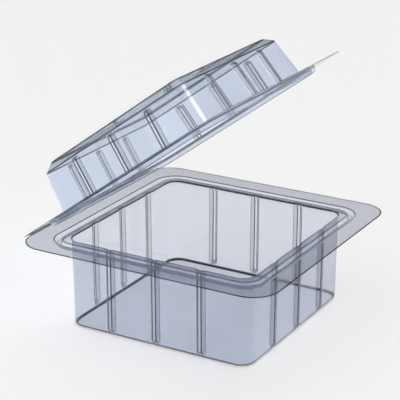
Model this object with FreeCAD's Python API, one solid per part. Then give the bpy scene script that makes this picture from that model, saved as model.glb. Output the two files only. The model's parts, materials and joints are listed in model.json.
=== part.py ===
import FreeCAD, Part
import math
import os

# A hinged clamshell pack formed from clear sheet: a square tub with a wide flat flange, and a domed lid
# that is creased to the tub's back flange. Millimetres, +Z up, origin at the middle of the tub's base.
# The hinge runs along X at the back (+Y), and the lid is open as far as the crease holds it.

# Sheet
SHEET = 0.5                  # thickness of the formed sheet
FIT_GAP = 0.3                # clearance between the closed lid and the tray, and between their hinge edges

# Tub, measured on its outside
MOUTH_HALF = 93.5            # half width of the square mouth
MOUTH_CORNER = 13.0          # corner radius, the same at the base
FLANGE_TOP = 84.5            # height of ledge and flange above the base
TUB_LEAN = 0.6               # how far the base lies inside the mouth, each side
BASE_FILLET = 3.0            # radius where wall and base meet

# Stiffening ribs, pressed outwards, upright on every wall
RIBS_PER_WALL = 3
RIB_PITCH = 46.5
RIB_FOOT_WIDTH = 8.3
RIB_CREST_WIDTH = 3.2
RIB_HEIGHT = 2.8
TUB_RIB_RISE = 0.4           # from the base's fillet to the rib's slanted end
TUB_RIB_RUN = 3.0            # height over which the slanted end reaches the crest
DOME_RIB_RUN = -4.2          # the same on the lid, where it falls from the shoulder

# Closure: a channel round the tray's mouth, and a hollow rib round the lid that drops into it
LEDGE = 4.3                  # flat left between the ribs' crests and the channel
CHANNEL_WIDTH = 6.8          # at the top
CHANNEL_DEPTH = 4.8
CHANNEL_INNER_LEAN = 1.2     # how far the channel's inner wall leans out towards its floor
CHANNEL_OUTER_LEAN = 2.4     # how far its outer wall leans in
CHANNEL_CORNER = 22.0        # corner radius at the outer top edge; the other edges share its centre

# Flange, the same outline on tray and lid
FLANGE_WIDTH = 19.6          # flat outside the channel
FLANGE_CORNER = 25.5         # corner radius of the outline

# Dome of the lid
DOME_SET_IN = 1.0            # how far its foot lies inside the tub's mouth
DOME_LEAN = 3.3              # how far its wall leans in from foot to shoulder
DOME_WALL_HEIGHT = 39.5      # from the flange to the shoulder
CHAMFER_WIDTH = 7.6          # sloping band between shoulder and top face
CHAMFER_HEIGHT = 7.0
DOME_CORNER = 9.0            # corner radius at foot and shoulder
DOME_TOP_CORNER = 6.0

# Opening
LID_OPEN_DEG = 36.35         # angle between the lid's flange and the tray's flange, as it stands

# How far solids that are joined or cut reach past each other
OVERLAP = 2.0

# Half widths and heights that follow
BASE_HALF = MOUTH_HALF - TUB_LEAN
CHANNEL_INNER = MOUTH_HALF + RIB_HEIGHT + LEDGE
CHANNEL_OUTER = CHANNEL_INNER + CHANNEL_WIDTH
FLANGE_HALF = CHANNEL_OUTER + FLANGE_WIDTH
DOME_FOOT_HALF = MOUTH_HALF - DOME_SET_IN
SHOULDER_HALF = DOME_FOOT_HALF - DOME_LEAN
DOME_TOP_HALF = SHOULDER_HALF - CHAMFER_WIDTH
LID_UNDERSIDE = FLANGE_TOP + FIT_GAP
SHOULDER = LID_UNDERSIDE + DOME_WALL_HEIGHT
DOME_TOP = SHOULDER + CHAMFER_HEIGHT
HINGE_Y = FLANGE_HALF + FIT_GAP / 2
HINGE_Z = FLANGE_TOP + FIT_GAP / 2
UP = FreeCAD.Vector(0, 0, 1)


def offset_line(points, distance):
    """Shift a polyline sideways, to its right, with mitred corners; the end points move square to it."""
    normals = []
    for (x0, y0), (x1, y1) in zip(points, points[1:]):
        length = math.hypot(x1 - x0, y1 - y0)
        normals.append(((y1 - y0) / length, (x0 - x1) / length))
    shifted = [(points[0][0] + distance * normals[0][0], points[0][1] + distance * normals[0][1])]
    for (x, y), (ax, ay), (bx, by) in zip(points[1:-1], normals, normals[1:]):
        scale = distance / (1 + ax * bx + ay * by)
        shifted.append((x + scale * (ax + bx), y + scale * (ay + by)))
    shifted.append((points[-1][0] + distance * normals[-1][0], points[-1][1] + distance * normals[-1][1]))
    return shifted


def turned(x, y, z, quarter):
    """The point (x, y, z), turned about the Z axis by some quarter turns."""
    cosine = math.cos(math.radians(90 * quarter))
    sine = math.sin(math.radians(90 * quarter))
    return FreeCAD.Vector(x * cosine - y * sine, x * sine + y * cosine, z)


def square_loop(half, corner, z):
    """A square outline with round corners, centred on the Z axis."""
    flat = half - corner
    diagonal = flat + corner * math.sqrt(0.5)
    edges = []
    for quarter in range(4):
        low = turned(half, -flat, z, quarter)
        high = turned(half, flat, z, quarter)
        middle = turned(diagonal, diagonal, z, quarter)
        far = turned(flat, half, z, quarter)
        edges.append(Part.makeLine(low, high))
        edges.append(Part.Arc(high, middle, far).toShape())
    return Part.Wire(edges)


def frustum(low, high):
    """The solid between two square outlines, each given as (half width, corner radius, z)."""
    return Part.makeLoft([square_loop(*low), square_loop(*high)], True, True)


def at_height(low, high, z):
    """The outline at height z on the straight taper through two outlines, also past their ends."""
    share = (z - low[2]) / (high[2] - low[2])
    return (low[0] + share * (high[0] - low[0]), low[1] + share * (high[1] - low[1]), z)


def channel_section(distance):
    """Outlines of the channel's skin, moved down and out by distance from the tray's upper skin."""
    floor = FLANGE_TOP - CHANNEL_DEPTH
    line = [(MOUTH_HALF, FLANGE_TOP), (CHANNEL_INNER, FLANGE_TOP),
            (CHANNEL_INNER + CHANNEL_INNER_LEAN, floor), (CHANNEL_OUTER - CHANNEL_OUTER_LEAN, floor),
            (CHANNEL_OUTER, FLANGE_TOP), (FLANGE_HALF, FLANGE_TOP)]
    centre = CHANNEL_OUTER - CHANNEL_CORNER
    return [(half, half - centre, z) for half, z in offset_line(line, distance)[1:5]]


def channel_ring(distance, top):
    """The solid that fills the channel's section, from its floor up to height top."""
    inner_top, inner_floor, outer_floor, outer_top = channel_section(distance)
    outside = frustum(outer_floor, at_height(outer_floor, outer_top, top))
    below = inner_floor[2] - OVERLAP
    inside = frustum(at_height(inner_floor, inner_top, below), at_height(inner_floor, inner_top, top))
    return outside.cut(inside)


def rib_solid(depth, wall, foot_z, run, open_z):
    """One upright rib on the wall that faces -Y, in the middle of that wall, as one skin bounds it.

    depth is how far this skin lies inside the outer skin, and wall(z) gives the outer skin's half width.
    The rib's slanted end leaves the outer skin at foot_z and takes the height run to reach the crest, and
    open_z is the height of the rib's open end. run is negative where the open end is the lower one.
    """
    plan = [(-RIB_PITCH / 2, 0), (-RIB_FOOT_WIDTH / 2, 0), (-RIB_CREST_WIDTH / 2, RIB_HEIGHT),
            (RIB_CREST_WIDTH / 2, RIB_HEIGHT), (RIB_FOOT_WIDTH / 2, 0), (RIB_PITCH / 2, 0)]
    plan = offset_line(plan, depth)[1:5]
    root = plan[0][1] - OVERLAP
    outline = [(plan[0][0], root)] + plan + [(plan[-1][0], root)]
    side = [(foot_z - run, 0), (foot_z, 0), (foot_z + run, RIB_HEIGHT)]
    start_z, start_s = offset_line(side, math.copysign(depth, run))[1]
    wires = []
    for z in (start_z, open_z):
        points = [FreeCAD.Vector(x, -(wall(z) + s), z) for x, s in outline]
        wires.append(Part.makePolygon(points + points[:1]))
    whole = Part.makeLoft(wires, True, True)
    reach = RIB_HEIGHT + wall(open_z) - wall(start_z) + OVERLAP
    slant_z = start_z + (reach - start_s) * run / RIB_HEIGHT
    profile = [(root, start_z), (start_s, start_z), (reach, slant_z), (reach, open_z), (root, open_z)]
    points = [FreeCAD.Vector(-RIB_FOOT_WIDTH, -(wall(start_z) + s), z) for s, z in profile]
    kept = Part.Face(Part.makePolygon(points + points[:1])).extrude(FreeCAD.Vector(2 * RIB_FOOT_WIDTH, 0, 0))
    return whole.common(kept)


def ribs(depth, wall, foot_z, run, open_z):
    """The ribs of all four walls, for one skin."""
    one = rib_solid(depth, wall, foot_z, run, open_z)
    solids = []
    for quarter in range(4):
        for number in range(RIBS_PER_WALL):
            rib = one.copy()
            rib.translate(FreeCAD.Vector((number - (RIBS_PER_WALL - 1) / 2) * RIB_PITCH, 0, 0))
            rib.rotate(FreeCAD.Vector(0, 0, 0), UP, 90 * quarter)
            solids.append(rib)
    return solids


def flange_slab(low_z):
    """The flat sheet of a flange, still without its middle."""
    outline = (FLANGE_HALF, FLANGE_CORNER)
    return frustum(outline + (low_z,), outline + (low_z + SHEET,))


def round_base(solid, radius):
    """Round the edges of the solid's lowest face."""
    lowest = min(solid.Faces, key=lambda face: face.CenterOfMass.z)
    return solid.makeFillet(radius, lowest.Edges)


def tub_wall(z):
    """Half width of the tub's outer skin at height z."""
    return BASE_HALF + TUB_LEAN * z / FLANGE_TOP


def tub_loop(inset, z):
    """The tub's outline at height z, as the skin bounds it that lies inset inside the outer skin."""
    return (tub_wall(z) - inset, MOUTH_CORNER - inset, z)


def dome_wall(z):
    """Half width of the dome's outer skin at height z, with the lid closed."""
    return DOME_FOOT_HALF - DOME_LEAN * (z - LID_UNDERSIDE) / DOME_WALL_HEIGHT


def make_tray():
    """The tub with its ledge, channel and flange."""
    rib_foot = BASE_FILLET + TUB_RIB_RISE
    outside = round_base(frustum(tub_loop(0, 0), tub_loop(0, FLANGE_TOP)), BASE_FILLET)
    outside = outside.fuse(ribs(0, tub_wall, rib_foot, TUB_RIB_RUN, FLANGE_TOP))
    above = FLANGE_TOP + OVERLAP
    cavity = round_base(frustum(tub_loop(SHEET, SHEET), tub_loop(SHEET, above)), BASE_FILLET - SHEET)
    cavity = cavity.fuse(ribs(SHEET, tub_wall, rib_foot, TUB_RIB_RUN, above))
    body = flange_slab(FLANGE_TOP - SHEET).fuse([outside, channel_ring(SHEET, FLANGE_TOP - SHEET)])
    body = body.cut([cavity, channel_ring(0, above)])
    return body.removeSplitter()


def dome_solid(inset, low_z):
    """The dome's volume inside one skin, from low_z up; inset is the skin's distance from the outer skin."""
    section = [(DOME_FOOT_HALF, LID_UNDERSIDE), (SHOULDER_HALF, SHOULDER),
               (DOME_TOP_HALF, DOME_TOP), (0, DOME_TOP)]
    foot, shoulder, top = offset_line(section, -inset)[:3]
    low = (foot[0], DOME_CORNER - inset, foot[1])
    middle = (shoulder[0], DOME_CORNER - inset, shoulder[1])
    high = (top[0], DOME_TOP_CORNER - inset, top[1])
    return frustum(at_height(low, middle, low_z), middle).fuse(frustum(middle, high))


def make_lid():
    """The lid, closed on the tray, before it is opened about the hinge."""
    outside = dome_solid(0, LID_UNDERSIDE)
    outside = outside.fuse(ribs(0, dome_wall, SHOULDER, DOME_RIB_RUN, LID_UNDERSIDE))
    below = LID_UNDERSIDE - OVERLAP
    cavity = dome_solid(SHEET, below)
    cavity = cavity.fuse(ribs(SHEET, dome_wall, SHOULDER, DOME_RIB_RUN, below))
    body = flange_slab(LID_UNDERSIDE).fuse([outside, channel_ring(-FIT_GAP, LID_UNDERSIDE)])
    body = body.cut([cavity, channel_ring(-FIT_GAP - SHEET, LID_UNDERSIDE + SHEET + OVERLAP)])
    return body.removeSplitter()


def open_lid(lid, angle):
    """Swing the closed lid up about the hinge line."""
    opened = lid.copy()
    opened.rotate(FreeCAD.Vector(0, HINGE_Y, HINGE_Z), FreeCAD.Vector(1, 0, 0), -angle)
    return opened


def main():
    os.makedirs("parts", exist_ok=True)
    pieces = {"tray": make_tray(), "lid": open_lid(make_lid(), LID_OPEN_DEG)}
    for name, shape in pieces.items():
        print(name, "solids", len(shape.Solids), "valid", shape.isValid(), "volume %.0f mm3" % shape.Volume)
        shape.exportStep("parts/" + name + ".step")


main()
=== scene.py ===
"""Looks of a hinged clamshell pack formed from clear sheet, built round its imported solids.

Sizes are in millimetres and are scaled to metres where a mesh is made. A skin is a grid: its rows run from
the flange's rim to the middle of the floor or of the dome's top, and each row is one loop round the pack.
"""
import json
import math
from collections import namedtuple

import bmesh
import bpy
from mathutils import Matrix, Vector


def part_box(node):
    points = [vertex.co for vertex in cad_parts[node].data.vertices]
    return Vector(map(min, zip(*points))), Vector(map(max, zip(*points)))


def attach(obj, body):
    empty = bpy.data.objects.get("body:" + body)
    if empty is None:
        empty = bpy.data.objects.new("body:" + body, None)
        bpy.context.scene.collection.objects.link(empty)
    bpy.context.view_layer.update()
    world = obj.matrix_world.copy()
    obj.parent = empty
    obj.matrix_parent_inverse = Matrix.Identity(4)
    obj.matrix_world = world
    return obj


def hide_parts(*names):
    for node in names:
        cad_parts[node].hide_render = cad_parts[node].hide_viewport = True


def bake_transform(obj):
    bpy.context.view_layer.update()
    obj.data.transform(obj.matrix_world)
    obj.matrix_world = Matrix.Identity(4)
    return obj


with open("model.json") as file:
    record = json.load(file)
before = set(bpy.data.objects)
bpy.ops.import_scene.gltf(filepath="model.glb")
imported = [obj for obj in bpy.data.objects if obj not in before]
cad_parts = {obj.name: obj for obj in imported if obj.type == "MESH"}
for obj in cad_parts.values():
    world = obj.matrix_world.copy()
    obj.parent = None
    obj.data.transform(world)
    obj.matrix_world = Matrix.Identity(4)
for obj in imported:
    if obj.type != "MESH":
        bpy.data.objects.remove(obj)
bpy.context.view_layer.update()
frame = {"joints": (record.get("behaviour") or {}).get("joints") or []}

MM = 0.001
SIDES = 4

# Sheet and fit
SHEET = 0.5
FIT_GAP = 0.3

# Tub and flange, the flange from the high corner of the tray's own box
tray_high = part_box("tray")[1]
FLANGE_HALF = tray_high[0] / MM
FLANGE_TOP = tray_high[2] / MM
FLANGE_CORNER = 25.5
MOUTH_HALF = 93.5
MOUTH_CORNER = 13.0
TUB_LEAN = 0.6
BASE_FILLET = 3.0

# Section of a rib
RIB_CENTRES = (-46.5, 0.0, 46.5)
RIB_FOOT_WIDTH = 8.3
RIB_CREST_WIDTH = 3.2
RIB_HEIGHT = 2.8

# Ends of the tub's ribs: slanted over the base, lower at the mouth
TUB_RIB_FOOT = 3.4
TUB_RIB_RUN = 3.0
MOUTH_RIB = 1.1
MOUTH_RIB_RUN = 5.0

# Slanted ends of the dome's ribs, as distances under the shoulder
DOME_CREST_END = 4.4
DOME_RIB_END = 1.8

# Channel round the tray's mouth
CHANNEL_INNER = 100.6
CHANNEL_OUTER = 107.4
CHANNEL_DEPTH = 4.8
CHANNEL_INNER_LEAN = 1.2
CHANNEL_OUTER_LEAN = 2.4
CHANNEL_CORNER = 22.0

# Dome of the lid
DOME_FOOT_HALF = 92.5
SHOULDER_HALF = 89.2
DOME_TOP_HALF = 81.6
DOME_WALL_HEIGHT = 39.5
CHAMFER_HEIGHT = 7.0
DOME_CORNER = 9.0
DOME_TOP_CORNER = 6.0

# Hinge, and the scored strip's bends as (y, z) from its axis
hinge = frame["joints"][0]
HINGE_Y = hinge["pos_m"][1] / MM
HINGE_Z = hinge["pos_m"][2] / MM
OPEN_DEG = -hinge["range_deg"][0]
CREASE_SHEET = 0.2
CREASE_REACH = 0.1
CREASE_BENDS = ((0.11, -0.27), (0.14, 0.0))

# Rounding of the folds in the sheet, measured on the skin that faces the food
CHANNEL_ROUND = 0.9
LEDGE_ROUND = 1.2
MOUTH_ROUND = 1.1
RIB_ROUND = 1.0
RIB_END_ROUND = 1.0
SHOULDER_ROUND = 1.6
TOP_ROUND = 3.2

# Roundings that both halves have, from the rim to the mouth, and the place of the mouth's among them
CLOSURE_ROUNDS = (CHANNEL_ROUND, CHANNEL_ROUND, CHANNEL_ROUND, LEDGE_ROUND, MOUTH_ROUND)
MOUTH_INDEX = 4

# Fineness of the grid
ROUND_STEPS = 4
FILLET_STEPS = 6
CORNER_STEPS = 14
STRETCH_STEPS = 3
FLOOR_RINGS = (0.988, 0.85, 0.6, 0.3, 0.06)
SHARP_DEG = 50.0

# Mesh attribute that weights a painted dark shade along the folds and the rim, and how it rises and falls
# across a rounding
FOLD_SHADE = "fold"
FOLD_MARGIN = 0.3
FOLD_SHADE_PROFILE = (0.5, 1.0, 1.0, 1.0, 0.5)

# How dark the painted shade on each kind of fold is. The rim's are (distance from the rim, weight).
RIM_SHADE = ((0.0, 1), (0.9, 1), (1.3, 0))
CHANNEL_SHADE = (0.95, 0.4, 0.4, 0.6, 1.0)
RIB_FOOT_SHADE = 0.6
RIB_FLANK_SHADE = 0.22
RIB_CREST_SHADE = 1.0
RIB_END_SHADE = 0.5
BASE_SHADE = (0.1, 0.6, 1.0, 1.0, 1.0, 0.5, 0.0)
SHOULDER_SHADE = 0.9
ROOF_SHADE = (0.12, 0.7, 1.0, 1.0, 0.9, 0.7, 0.4, 0.1, 0.0)
ROOF_BAND = 1.5
CREASE_SHADE = 0.6

# A rib's edges get their full painted shade from this share of its height on
FULL_EDGE_SHADE_SHARE = 0.5

# A slanted rib end is further than this from the mouth, and differs from no rib and a full one by this much
MOUTH_REACH = 5.6
LEVEL_GAP = 0.01

# One loop round the pack: half its width, its height, half its straight stretch, the ribs' height, how far
# the places along a side shrink to its middle, and the painted shade weights of the loop and of slanted rib
# ends
Row = namedtuple("Row", "half z flat rib shrink fold end", defaults=(0, 1, 0, 0))

# One place along a side: the share of the way to its corner, the share of the rib's height, the painted
# shade weight of the rib's edges, and 1 on a rib's crest
Station = namedtuple("Station", "x corner rib fold crest", defaults=(0, 0, 0, 0))


def rounding(before, corner, after, radius, steps=ROUND_STEPS, margin=0.0):
    """Points of one rounded corner. Values past the second coordinate are carried along.

    A margin adds one point that far before and one that far after the rounding.
    """
    spot = Vector(corner[:2])
    back = Vector(before[:2]) - spot
    ahead = Vector(after[:2]) - spot
    half_turn = (math.pi - back.angle(ahead)) / 2
    reach = radius * math.tan(half_turn)
    middle = (back.normalized() + ahead.normalized()).normalized()
    centre = spot + middle * radius / math.cos(half_turn)
    start = spot + back.normalized() * reach - centre
    turn = start.angle_signed(spot + ahead.normalized() * reach - centre)
    path = []
    for step in range(steps + 1):
        part = step / steps
        carried = []
        for low, own, high in zip(before[2:], corner[2:], after[2:]):
            first = own + (low - own) * reach / back.length
            last = own + (high - own) * reach / ahead.length
            carried.append(first + (last - first) * part)
        path.append((*(centre + Matrix.Rotation(-turn * part, 2) @ start), *carried))
    if margin:
        path.insert(0, Vector(corner).lerp(Vector(before), (reach + margin) / back.length).to_tuple())
        path.append(Vector(corner).lerp(Vector(after), (reach + margin) / ahead.length).to_tuple())
    return path


def rounded_path(points, radii, margin=0.0):
    """A polyline with its inner corners rounded."""
    path = [tuple(points[0])]
    for before, corner, after, radius in zip(points, points[1:], points[2:], radii):
        path += rounding(before, corner, after, radius, margin=margin)
    path.append(tuple(points[-1]))
    return path


def offset_line(points, distance):
    """A polyline shifted to its right, with mitred corners; its end points move square to it."""
    normals = []
    for (x0, y0), (x1, y1) in zip(points, points[1:]):
        length = math.hypot(x1 - x0, y1 - y0)
        normals.append(((y1 - y0) / length, (x0 - x1) / length))
    shifted = [(points[0][0] + distance * normals[0][0], points[0][1] + distance * normals[0][1])]
    for (x, y), (ax, ay), (bx, by) in zip(points[1:-1], normals, normals[1:]):
        scale = distance / (1 + ax * bx + ay * by)
        shifted.append((x + scale * (ax + bx), y + scale * (ay + by)))
    shifted.append((points[-1][0] + distance * normals[-1][0], points[-1][1] + distance * normals[-1][1]))
    return shifted


def fold_shade_weights(share, before=0.0, after=0.0):
    """Weights of painted dark shade at the points of one rounding with margins, most in its middle."""
    return [before] + [share * part for part in FOLD_SHADE_PROFILE] + [after]


def all_fold_shade_weights(shares, last_weights):
    """Weights of painted dark shade of each rounding. The sheet between the last two has the first weight
    of the last.
    """
    weights = [fold_shade_weights(share) for share in shares[:-1]]
    weights.append(fold_shade_weights(shares[-1], after=last_weights[0]))
    return weights + [last_weights]


def rib_section():
    """Stations across one rib, from foot to foot."""
    foot = RIB_FOOT_WIDTH / 2
    crest = RIB_CREST_WIDTH / 2
    corners = [(-2 * foot, 0), (-foot, 0), (-crest, RIB_HEIGHT),
               (crest, RIB_HEIGHT), (foot, 0), (2 * foot, 0)]
    path = rounded_path(corners, [RIB_ROUND] * 4, FOLD_MARGIN)[1:-1]
    fold_shades = fold_shade_weights(RIB_FOOT_SHADE, after=RIB_FLANK_SHADE)
    fold_shades += fold_shade_weights(RIB_CREST_SHADE, before=RIB_FLANK_SHADE)
    fold_shades += fold_shade_weights(RIB_CREST_SHADE, after=RIB_FLANK_SHADE)
    fold_shades += fold_shade_weights(RIB_FOOT_SHADE, before=RIB_FLANK_SHADE)
    return [Station(x, 0, height / RIB_HEIGHT, fold, float(height > RIB_HEIGHT / 2))
            for (x, height), fold in zip(path, fold_shades)]


def side_stations():
    """Stations along one side, from corner to corner."""
    section = rib_section()
    first = RIB_CENTRES[0] + section[0].x
    last = RIB_CENTRES[-1] + section[-1].x
    stations = [Station(first, 1 - step / STRETCH_STEPS) for step in range(STRETCH_STEPS)]
    for index, centre in enumerate(RIB_CENTRES):
        if index > 0:
            start = RIB_CENTRES[index - 1] + section[-1].x
            step = (centre + section[0].x - start) / STRETCH_STEPS
            stations += [Station(start + step * k) for k in range(1, STRETCH_STEPS)]
        stations += [station._replace(x=centre + station.x) for station in section]
    stations += [Station(last, step / STRETCH_STEPS) for step in range(1, STRETCH_STEPS + 1)]
    return stations


def loop_points(row, stations):
    """Points of one row: a ribbed side and a round corner, turned to each of the four sides."""
    side = []
    for station in stations:
        x = row.shrink * station.x
        end = math.copysign(row.flat, station.x)
        side.append((x + station.corner * (end - x), -(row.half + row.rib * station.rib)))
    radius = row.half - row.flat
    for step in range(1, CORNER_STEPS):
        angle = math.radians(-90 + 90 * step / CORNER_STEPS)
        side.append((row.flat + radius * math.cos(angle), -row.flat + radius * math.sin(angle)))
    points = []
    for quarter in range(SIDES):
        turn = Matrix.Rotation(math.radians(90 * quarter), 2)
        points += [(*(turn @ Vector(spot)), row.z) for spot in side]
    return points


def loop_fold_shades(row, stations):
    """Weight of painted dark shade at each point of one row: its own, or that of a rib's edges or slanted
    end.
    """
    edges = min(1.0, row.rib / RIB_HEIGHT / FULL_EDGE_SHADE_SHARE)
    side = [max(row.fold, edges * station.fold, row.end * station.crest) for station in stations]
    side += [row.fold] * (CORNER_STEPS - 1)
    return side * SIDES


def wall_rows(top, low, ramp):
    """Rows of a ribbed wall between two places of the profile, one for each (z, rib height) of a ramp."""
    rows = []
    for z, height in ramp:
        share = (z - top[1]) / (low[1] - top[1])
        half = top[0] + share * (low[0] - top[0])
        flat = top[2] + share * (low[2] - top[2])
        slanted = LEVEL_GAP < height < RIB_HEIGHT - LEVEL_GAP and abs(z - top[1]) > MOUTH_REACH
        rows.append(Row(half, z, flat, rib=height, end=RIB_END_SHADE if slanted else 0))
    return rows


def skin_rows(corners, radii, fold_shades, ramp, last_margin=0.0):
    """Rows along a rounded profile, from the rim to near the middle of the floor or of the dome's top.

    The third argument has the weights of painted dark shade of each rounding. The ribbed wall comes after
    the mouth's rounding. The last rounding is finer than the others and has its own margin.
    """
    half, z, flat = corners[0]
    # Painted dark shade in a band along the cut rim
    rows = [Row(half - inset, z, flat, fold=fold) for inset, fold in RIM_SHADE]
    for index, (radius, weights) in enumerate(zip(radii, fold_shades)):
        fineness = (ROUND_STEPS, FOLD_MARGIN) if index < len(radii) - 1 else (FILLET_STEPS, last_margin)
        path = rounding(*corners[index:index + 3], radius, *fineness)
        rib = ramp[0][1] if index == MOUTH_INDEX else 0
        rows += [Row(*spot, rib=rib, fold=fold) for spot, fold in zip(path, weights)]
        if index == MOUTH_INDEX:
            rows += wall_rows(path[-1], corners[index + 2], ramp[1:])
    end = rows[-1]
    rows += [Row(end.half * share, end.z, end.flat * share, shrink=share) for share in FLOOR_RINGS]
    return rows


def skin_mesh(name, rows):
    """The mesh of the skin that faces the food, with the weights of its painted dark shade."""
    stations = side_stations()
    verts = []
    fold_shades = []
    for row in rows:
        verts += [Vector(point) * MM for point in loop_points(row, stations)]
        fold_shades += loop_fold_shades(row, stations)
    count = len(verts) // len(rows)
    faces = []
    for start in range(0, len(verts) - count, count):
        for k in range(count):
            following = (k + 1) % count
            faces.append((start + k, start + following, start + count + following, start + count + k))
    faces.append(tuple(range(len(verts) - count, len(verts))))
    mesh = bpy.data.meshes.new(name)
    mesh.from_pydata(verts, [], faces)
    # The attribute holds how strong the painted dark shade is at each point
    mesh.attributes.new(FOLD_SHADE, "FLOAT", "POINT").data.foreach_set("value", fold_shades)
    return mesh


def thicken(name, mesh, offset, thickness=SHEET):
    """An object with a skin made into a sheet, its sharp rim marked and the rest smooth.

    offset is -1 or 1 for a sheet that lies wholly on one side of its skin, and 0 for half on each side.
    """
    raw = bpy.data.objects.new(name + "_raw", mesh)
    bpy.context.scene.collection.objects.link(raw)
    solidify = raw.modifiers.new("sheet", "SOLIDIFY")
    solidify.thickness = thickness * MM
    solidify.offset = offset
    solidify.use_even_offset = True
    solidify.use_quality_normals = True
    bpy.context.view_layer.update()
    done = bpy.data.meshes.new_from_object(raw.evaluated_get(bpy.context.evaluated_depsgraph_get()))
    bpy.data.objects.remove(raw)
    bpy.data.meshes.remove(mesh)
    mark_sharp_edges(done)
    piece = bpy.data.objects.new(name, done)
    bpy.context.scene.collection.objects.link(piece)
    return piece


def mark_sharp_edges(mesh):
    """Smooth faces, but for the edges where the sheet turns sharply."""
    grid = bmesh.new()
    grid.from_mesh(mesh)
    for face in grid.faces:
        face.smooth = True
    for edge in grid.edges:
        if len(edge.link_faces) == 2 and edge.calc_face_angle() > math.radians(SHARP_DEG):
            edge.smooth = False
    grid.to_mesh(mesh)
    grid.free()


def closure_line():
    """Corners (half, z) of the tray's upper skin from the rim to the mouth."""
    floor = FLANGE_TOP - CHANNEL_DEPTH
    return [(FLANGE_HALF, FLANGE_TOP),
            (CHANNEL_OUTER, FLANGE_TOP),
            (CHANNEL_OUTER - CHANNEL_OUTER_LEAN, floor),
            (CHANNEL_INNER + CHANNEL_INNER_LEAN, floor),
            (CHANNEL_INNER, FLANGE_TOP),
            (MOUTH_HALF, FLANGE_TOP)]


def closure_corners(line):
    """The corners of a closure line but the mouth's, each with half the straight stretch of its loop."""
    rim, *channel, _ = line
    flat = CHANNEL_OUTER - CHANNEL_CORNER
    return [(*rim, FLANGE_HALF - FLANGE_CORNER)] + [(*corner, flat) for corner in channel]


def make_tray():
    """The tub with its ledge, channel and flange."""
    mouth_flat = MOUTH_HALF - MOUTH_CORNER
    base_half = MOUTH_HALF - TUB_LEAN
    corners = closure_corners(closure_line())
    corners += [(MOUTH_HALF - SHEET, FLANGE_TOP, mouth_flat),
                (base_half - SHEET, SHEET, mouth_flat - TUB_LEAN),
                (base_half / 2, SHEET, mouth_flat / 2)]
    ramp = rounded_path([(FLANGE_TOP - MOUTH_ROUND, MOUTH_RIB), (FLANGE_TOP - MOUTH_RIB_RUN, RIB_HEIGHT),
                         (TUB_RIB_FOOT + TUB_RIB_RUN, RIB_HEIGHT), (TUB_RIB_FOOT, 0), (SHEET, 0)],
                        [RIB_END_ROUND] * 3)[:-1]
    fold_shades = all_fold_shade_weights(CHANNEL_SHADE, BASE_SHADE)
    rows = skin_rows(corners, (*CLOSURE_ROUNDS, BASE_FILLET - SHEET), fold_shades, ramp)
    return thicken("tray_sheet", skin_mesh("tray_sheet", rows), -1)


def make_lid():
    """The lid, shaped as if shut and then opened about the hinge."""
    under = FLANGE_TOP + FIT_GAP
    shoulder = under + DOME_WALL_HEIGHT
    top = shoulder + CHAMFER_HEIGHT
    top_flat = DOME_TOP_HALF - DOME_TOP_CORNER
    outside = [(DOME_FOOT_HALF, under), (SHOULDER_HALF, shoulder), (DOME_TOP_HALF, top), (0, top)]
    foot_edge, shoulder_edge, top_edge, _ = offset_line(outside, -SHEET)
    corners = closure_corners(offset_line(closure_line(), FIT_GAP))
    corners += [(foot_edge[0], under, DOME_FOOT_HALF - DOME_CORNER),
                (*shoulder_edge, SHOULDER_HALF - DOME_CORNER),
                (*top_edge, top_flat),
                (top_edge[0] / 2, top_edge[1], top_flat / 2)]
    ramp = rounded_path([(under + MOUTH_ROUND, RIB_HEIGHT), (shoulder - DOME_CREST_END, RIB_HEIGHT),
                         (shoulder - DOME_RIB_END, 0), (shoulder, 0)],
                        [RIB_END_ROUND] * 2)[:-1]
    fold_shades = all_fold_shade_weights((*CHANNEL_SHADE, SHOULDER_SHADE), ROOF_SHADE)
    rows = skin_rows(corners, (*CLOSURE_ROUNDS, SHOULDER_ROUND, TOP_ROUND), fold_shades, ramp, ROOF_BAND)
    lid = thicken("lid_sheet", skin_mesh("lid_sheet", rows), 1)
    pivot = Vector((0, HINGE_Y, HINGE_Z)) * MM
    swing = Matrix.Rotation(math.radians(-OPEN_DEG), 4, "X")
    lid.data.transform(Matrix.Translation(pivot) @ swing @ Matrix.Translation(-pivot))
    return lid


def make_crease():
    """The scored strip that joins the two flanges at the pose of rest, and where it meets each of them."""
    turn = Matrix.Rotation(math.radians(-OPEN_DEG), 2)
    pivot = Vector((HINGE_Y, HINGE_Z))
    tray_rim = Vector((FLANGE_HALF, FLANGE_TOP - SHEET / 2))
    shut_rim = Vector((FLANGE_HALF, FLANGE_TOP + FIT_GAP + SHEET / 2))
    lid_rim = pivot + turn @ (shut_rim - pivot)
    inward = Vector((-CREASE_REACH, 0))
    bends = [pivot + Vector(spot) for spot in CREASE_BENDS]
    path = [tray_rim + inward, tray_rim, *bends, lid_rim, lid_rim + turn @ inward]
    half = FLANGE_HALF - FLANGE_CORNER
    verts = [Vector((x, *spot)) * MM for spot in path for x in (-half, half)]
    faces = [(2 * k, 2 * k + 1, 2 * k + 3, 2 * k + 2) for k in range(len(path) - 1)]
    mesh = bpy.data.meshes.new("hinge_crease")
    mesh.from_pydata(verts, [], faces)
    # Painted dark shade all along the crease
    mesh.attributes.new(FOLD_SHADE, "FLOAT", "POINT").data.foreach_set("value", [CREASE_SHADE] * len(verts))
    crease = thicken("hinge_crease", mesh, 0, CREASE_SHEET)
    return crease, [Vector((0, *spot)) * MM for spot in (tray_rim, lid_rim)]


# Colours of the sheet: what is left of white light that went through it where it is flat, and the painted
# near-black shade of its folds and rim
TRAY_TINT = (0.75, 0.773, 0.835)
LID_TINT = (0.84, 0.885, 0.97)
# Painted shade: near-black colours of the folds and rim, cool and warm
FOLD_SHADE_COOL = (0.006, 0.009, 0.025)
FOLD_SHADE_WARM = (0.022, 0.014, 0.007)
SHADOW_TINT = (0.985, 0.987, 0.992)

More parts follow.
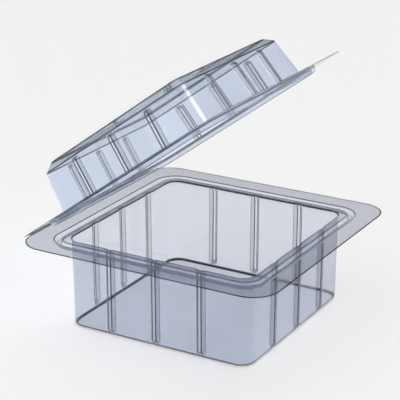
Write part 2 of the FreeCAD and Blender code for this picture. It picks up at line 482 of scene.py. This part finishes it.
# Gloss of the sheet, its unevenness in metres, and the drift between cool and warm painted shade in the
# folds
ROUGHNESS = 0.03
REFRACTION = 1.5
GLOSS_TINT = (0.58, 0.56, 0.54)
WAVE_SCALE = 14.0
WAVE_DETAIL = 1.5
WAVE_STRENGTH = 0.25
WAVE_DEPTH = 0.002
DRIFT_SCALE = 9.0
FOLD_SHADE_STOPS = ((0.42, FOLD_SHADE_COOL), (0.62, FOLD_SHADE_WARM))


def new_material(name):
    """An empty node material, with its node tree and its output."""
    material = bpy.data.materials.new(name)
    material.use_nodes = True
    tree = material.node_tree
    tree.nodes.clear()
    return material, tree, tree.nodes.new("ShaderNodeOutputMaterial")


def uneven_normal(tree, place):
    """The normal of a sheet that is slightly wavy."""
    wave = tree.nodes.new("ShaderNodeTexNoise")
    wave.inputs["Scale"].default_value = WAVE_SCALE
    wave.inputs["Detail"].default_value = WAVE_DETAIL
    bump = tree.nodes.new("ShaderNodeBump")
    bump.inputs["Strength"].default_value = WAVE_STRENGTH
    bump.inputs["Distance"].default_value = WAVE_DEPTH
    tree.links.new(place.outputs["Object"], wave.inputs["Vector"])
    tree.links.new(wave.outputs["Fac"], bump.inputs["Height"])
    return bump.outputs["Normal"]


def sheet_colour(tree, place, tint):
    """The colour of a sheet: its tint, and painted near-black shade on its bends and rim, cool or warm by a
    slow noise.
    """
    drift = tree.nodes.new("ShaderNodeTexNoise")
    drift.inputs["Scale"].default_value = DRIFT_SCALE
    dark = tree.nodes.new("ShaderNodeValToRGB")
    for element, (position, colour) in zip(dark.color_ramp.elements, FOLD_SHADE_STOPS):
        element.position = position
        element.color = (*colour, 1)
    tree.links.new(place.outputs["Object"], drift.inputs["Vector"])
    tree.links.new(drift.outputs["Fac"], dark.inputs[0])
    # The tint goes towards the painted near-black shade as the attribute's weight rises
    fold = tree.nodes.new("ShaderNodeAttribute")
    fold.attribute_name = FOLD_SHADE
    tone = tree.nodes.new("ShaderNodeMix")
    tone.data_type = "RGBA"
    flat, fold_shade_input = [socket for socket in tone.inputs if socket.type == "RGBA"]
    flat.default_value = (*tint, 1)
    tree.links.new(fold.outputs["Fac"], tone.inputs["Factor"])
    tree.links.new(dark.outputs["Color"], fold_shade_input)
    return next(socket for socket in tone.outputs if socket.type == "RGBA")


def clear_sheet(name, tint):
    """Clear formed sheet of one tint, with painted dark shade on its bends and rim, and slightly uneven.
    Lamps shine through it.
    """
    material, tree, output = new_material(name)
    place = tree.nodes.new("ShaderNodeTexCoord")
    plastic = tree.nodes.new("ShaderNodeBsdfPrincipled")
    plastic.inputs["Roughness"].default_value = ROUGHNESS
    plastic.inputs["IOR"].default_value = REFRACTION
    plastic.inputs["Transmission Weight"].default_value = 1.0
    plastic.inputs["Specular Tint"].default_value = (*GLOSS_TINT, 1)
    tree.links.new(uneven_normal(tree, place), plastic.inputs["Normal"])
    tree.links.new(sheet_colour(tree, place, tint), plastic.inputs["Base Color"])
    see_through = tree.nodes.new("ShaderNodeBsdfTransparent")
    see_through.inputs["Color"].default_value = (*SHADOW_TINT, 1)
    path = tree.nodes.new("ShaderNodeLightPath")
    mix = tree.nodes.new("ShaderNodeMixShader")
    tree.links.new(path.outputs["Is Shadow Ray"], mix.inputs[0])
    tree.links.new(plastic.outputs[0], mix.inputs[1])
    tree.links.new(see_through.outputs[0], mix.inputs[2])
    tree.links.new(mix.outputs[0], output.inputs["Surface"])
    return material


# Camera, at the photograph's viewing angle
CAMERA_PLACE = (-1.162178, -0.661836, 0.602729)
VIEW_DIRECTION = (0.81287741, 0.46857969, -0.34592396)
CAMERA_UP = (0.29958, 0.17297, 0.93826)
LENS = 139.907
SENSOR_WIDTH = 36.0
VIEW_REACH = 100.0

# Floor and the plain backdrop, which ends at this sine of the elevation
FLOOR_HALF = 6.0
FLOOR_DROP = 0.0002
FLOOR_GREY = 0.85
BACKDROP_GREY = 0.887
BACKDROP_TOP = 0.2

# Studio: its grey at each sine of the elevation, and one window, a stripe across the sky
SKY_STOPS = ((0.0, 0.30), (0.05, 0.10), (0.5, 0.11), (0.72, 0.895), (1.0, 0.98))
WINDOW_DIRECTION = (0.115, -0.703, 0.695)
WINDOW_ALONG = (0.90, 0.96)
WINDOW_SLOPE = (0.0755, 0.7126, 0.6975)
WINDOW_ACROSS = (0.16, 0.07)
WINDOW_LIGHT = 11.0

# Key lamp
KEY_PLACE = (-1.3, -1.6, 1.3)
KEY_AIM = (0, 0, 0.15)
KEY_SIDE = 0.25
KEY_POWER = 3.0

# Turns of a light path that clear sheets need
CLEAR_BOUNCES = 24
ALL_BOUNCES = 32


def make_camera():
    """A camera with the photograph's place, direction and lens."""
    data = bpy.data.cameras.new("camera")
    data.lens = LENS
    data.sensor_width = SENSOR_WIDTH
    data.clip_end = VIEW_REACH
    camera = bpy.data.objects.new("camera", data)
    back = -Vector(VIEW_DIRECTION)
    right = Vector(CAMERA_UP).cross(back).normalized()
    up = back.cross(right)
    turn = Matrix((right, up, back)).transposed()
    camera.matrix_world = Matrix.Translation(CAMERA_PLACE) @ turn.to_4x4()
    bpy.context.scene.collection.objects.link(camera)
    bpy.context.scene.camera = camera


def make_floor():
    """A wide plain pale floor just under the pack."""
    material, tree, output = new_material("floor_pale")
    matte = tree.nodes.new("ShaderNodeBsdfDiffuse")
    matte.inputs["Color"].default_value = (FLOOR_GREY, FLOOR_GREY, FLOOR_GREY, 1)
    tree.links.new(matte.outputs[0], output.inputs["Surface"])
    mesh = bpy.data.meshes.new("floor")
    side = FLOOR_HALF
    mesh.from_pydata([(-side, -side, 0), (side, -side, 0), (side, side, 0), (-side, side, 0)], [],
                     [(0, 1, 2, 3)])
    mesh.materials.append(material)
    floor = bpy.data.objects.new("floor", mesh)
    floor.location.z = -FLOOR_DROP
    bpy.context.scene.collection.objects.link(floor)


def make_key_lamp():
    """One soft square lamp."""
    data = bpy.data.lights.new("key", "AREA")
    data.shape = "RECTANGLE"
    data.size = KEY_SIDE
    data.size_y = KEY_SIDE
    data.energy = KEY_POWER
    lamp = bpy.data.objects.new("key", data)
    lamp.location = KEY_PLACE
    lamp.rotation_mode = "QUATERNION"
    lamp.rotation_quaternion = (Vector(KEY_AIM) - Vector(KEY_PLACE)).to_track_quat("-Z", "Y")
    bpy.context.scene.collection.objects.link(lamp)


def calculate(tree, operation, first, second=None):
    """The output of a math node on another node's output and, where there is one, an output or a number."""
    node = tree.nodes.new("ShaderNodeMath")
    node.operation = operation
    tree.links.new(first, node.inputs[0])
    if isinstance(second, float):
        node.inputs[1].default_value = second
    elif second is not None:
        tree.links.new(second, node.inputs[1])
    return node.outputs[0]


def towards(tree, place, direction):
    """The dot product of where a ray goes with a direction."""
    dot = tree.nodes.new("ShaderNodeVectorMath")
    dot.operation = "DOT_PRODUCT"
    dot.inputs[1].default_value = Vector(direction).normalized()
    tree.links.new(place.outputs["Generated"], dot.inputs[0])
    return dot.outputs["Value"]


def fade(tree, value, none, full):
    """Rises smoothly from 0 to 1 as a value goes from none to full."""
    smooth = tree.nodes.new("ShaderNodeMapRange")
    smooth.interpolation_type = "SMOOTHSTEP"
    smooth.inputs["From Min"].default_value = none
    smooth.inputs["From Max"].default_value = full
    tree.links.new(value, smooth.inputs["Value"])
    return smooth.outputs[0]


def studio_light(tree, place, height):
    """The light of a dim studio with a bright ceiling and one soft window."""
    ramp = tree.nodes.new("ShaderNodeValToRGB")
    while len(ramp.color_ramp.elements) < len(SKY_STOPS):
        ramp.color_ramp.elements.new(0.5)
    for element, (position, grey) in zip(ramp.color_ramp.elements, SKY_STOPS):
        element.position = position
        element.color = (grey, grey, grey, 1)
    tree.links.new(height, ramp.inputs[0])
    along = fade(tree, towards(tree, place, WINDOW_DIRECTION), *WINDOW_ALONG)
    off_stripe = calculate(tree, "ABSOLUTE", towards(tree, place, WINDOW_SLOPE))
    across = fade(tree, off_stripe, *WINDOW_ACROSS)
    window = calculate(tree, "MULTIPLY", calculate(tree, "MULTIPLY", along, across), WINDOW_LIGHT)
    total = tree.nodes.new("ShaderNodeVectorMath")
    total.operation = "ADD"
    tree.links.new(ramp.outputs["Color"], total.inputs[0])
    tree.links.new(window, total.inputs[1])
    light = tree.nodes.new("ShaderNodeBackground")
    tree.links.new(total.outputs[0], light.inputs["Color"])
    return light.outputs[0]


def backdrop_share(tree, height):
    """1 for low rays from the camera, straight or through the sheet, and 0 for all others."""
    path = tree.nodes.new("ShaderNodeLightPath")
    seen = calculate(tree, "MAXIMUM", path.outputs["Is Camera Ray"], path.outputs["Is Transmission Ray"])
    low = calculate(tree, "LESS_THAN", height, BACKDROP_TOP)
    return calculate(tree, "MULTIPLY", seen, low)


def make_world():
    """The studio that lights the pack, and the plain pale backdrop that the camera sees behind it."""
    world = bpy.data.worlds.new("studio")
    world.use_nodes = True
    bpy.context.scene.world = world
    tree = world.node_tree
    tree.nodes.clear()
    place = tree.nodes.new("ShaderNodeTexCoord")
    split = tree.nodes.new("ShaderNodeSeparateXYZ")
    tree.links.new(place.outputs["Generated"], split.inputs[0])
    height = split.outputs["Z"]
    backdrop = tree.nodes.new("ShaderNodeBackground")
    backdrop.inputs["Color"].default_value = (BACKDROP_GREY, BACKDROP_GREY, BACKDROP_GREY, 1)
    mix = tree.nodes.new("ShaderNodeMixShader")
    tree.links.new(backdrop_share(tree, height), mix.inputs[0])
    tree.links.new(studio_light(tree, place, height), mix.inputs[1])
    tree.links.new(backdrop.outputs[0], mix.inputs[2])
    output = tree.nodes.new("ShaderNodeOutputWorld")
    tree.links.new(mix.outputs[0], output.inputs["Surface"])


make_camera()
make_floor()
make_world()
make_key_lamp()

bpy.context.scene.cycles.transmission_bounces = CLEAR_BOUNCES
bpy.context.scene.cycles.transparent_max_bounces = CLEAR_BOUNCES
bpy.context.scene.cycles.max_bounces = ALL_BOUNCES
bpy.context.scene.view_settings.view_transform = "Standard"

for maker, node, tint in ((make_tray, "tray", TRAY_TINT), (make_lid, "lid", LID_TINT)):
    piece = maker()
    piece.data.materials.append(clear_sheet("clear_sheet_" + node, tint))
    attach(piece, node)
    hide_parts(node)

crease, crease_ends = make_crease()
crease.data.materials.append(bpy.data.materials["clear_sheet_tray"])
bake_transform(crease)
